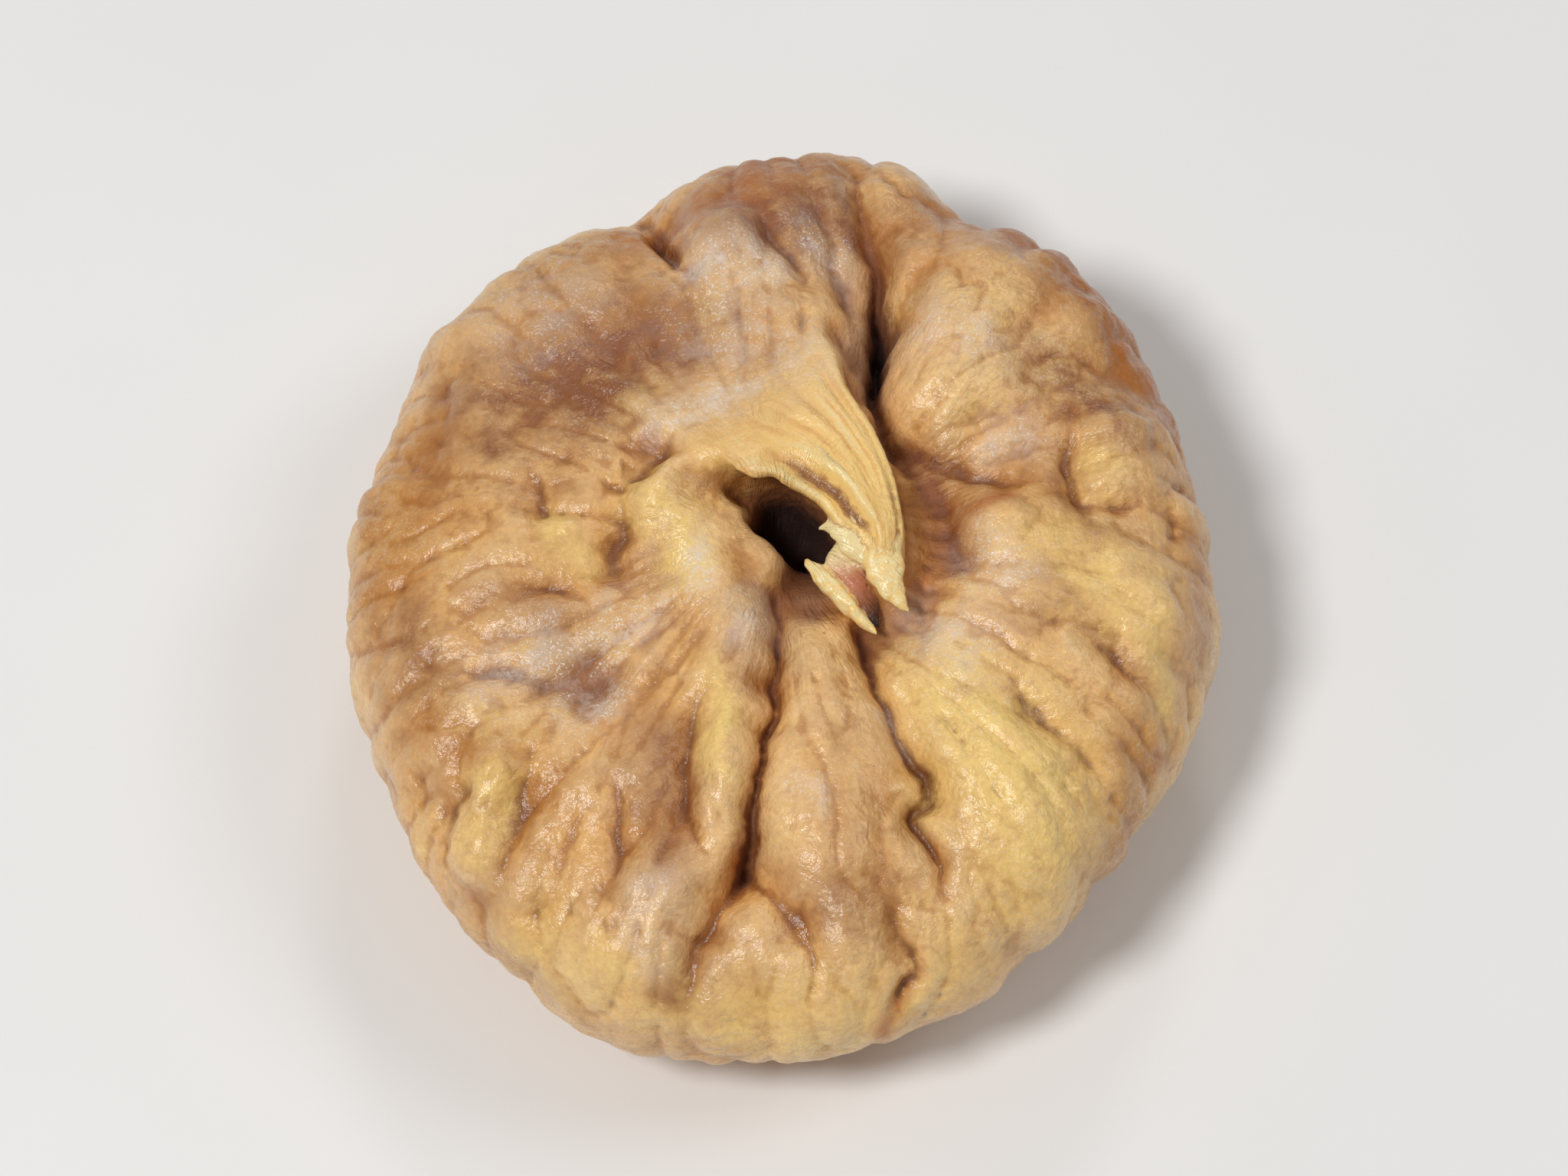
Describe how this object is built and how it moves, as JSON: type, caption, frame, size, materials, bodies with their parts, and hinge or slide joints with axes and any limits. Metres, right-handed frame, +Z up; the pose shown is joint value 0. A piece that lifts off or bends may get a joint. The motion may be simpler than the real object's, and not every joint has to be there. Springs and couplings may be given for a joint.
{
  "type": "dried fig",
  "caption": "Whole pressed dried fig, lying on its eye, with its bent neck folded over the pit in its wrinkled face.",
  "frame": {"origin": "on the surface that the fruit lies on, under the middle of its outline", "axes": "+Z up out of the surface, along the thickness that the fruit was pressed to; +Y along its longer way; +X across it"},
  "size_m": [0.0454, 0.0519, 0.0178],
  "materials": {
    "fig_skin": "wrinkled tan skin with a patchy soft gloss and a thin whitish sugar bloom"
  },
  "bodies": {
    "root": {"dried_fig": "fig_skin"}
  },
  "joints": []
}
